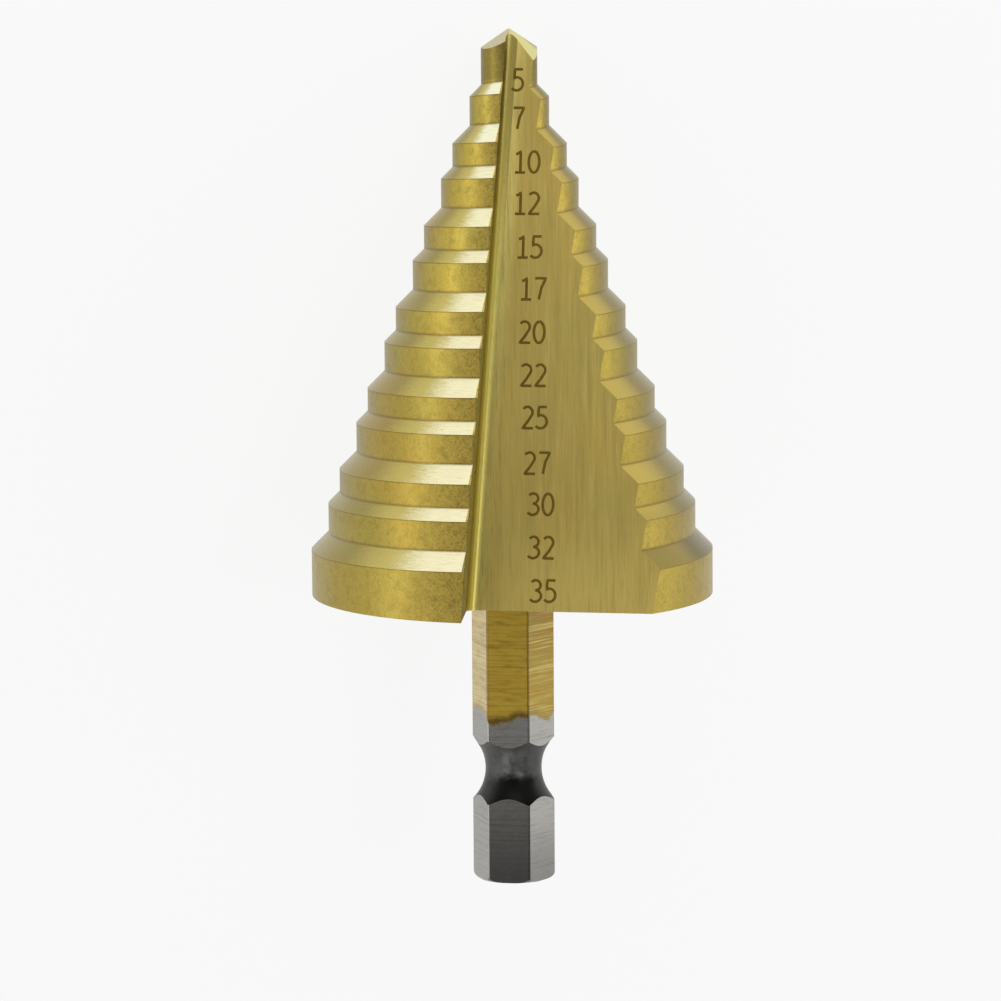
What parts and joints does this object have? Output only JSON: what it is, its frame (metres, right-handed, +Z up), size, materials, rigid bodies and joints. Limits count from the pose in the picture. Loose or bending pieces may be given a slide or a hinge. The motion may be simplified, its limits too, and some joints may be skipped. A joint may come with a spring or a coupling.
{
  "type": "step drill",
  "caption": "Step drill: a stepped cone with straight chip flutes, step sizes on the flute face and a grooved hexagon shank, gold coated. It lies as it comes to rest.",
  "frame": {"origin": "on the floor it lies on, under the centre of its bounding box", "axes": "+Z up from the floor; +Y from the shank towards the point, along the drill's axis in plan; +X to the right with the shank nearest the viewer"},
  "size_m": [0.0348, 0.072, 0.0307],
  "materials": {
    "coated_steel": "gold titanium-nitride film on ground high-speed steel, worn through to bare and heat-darkened steel at the groove and the end of the shank"
  },
  "bodies": {
    "root": {"step_drill": "coated_steel"}
  },
  "joints": []
}
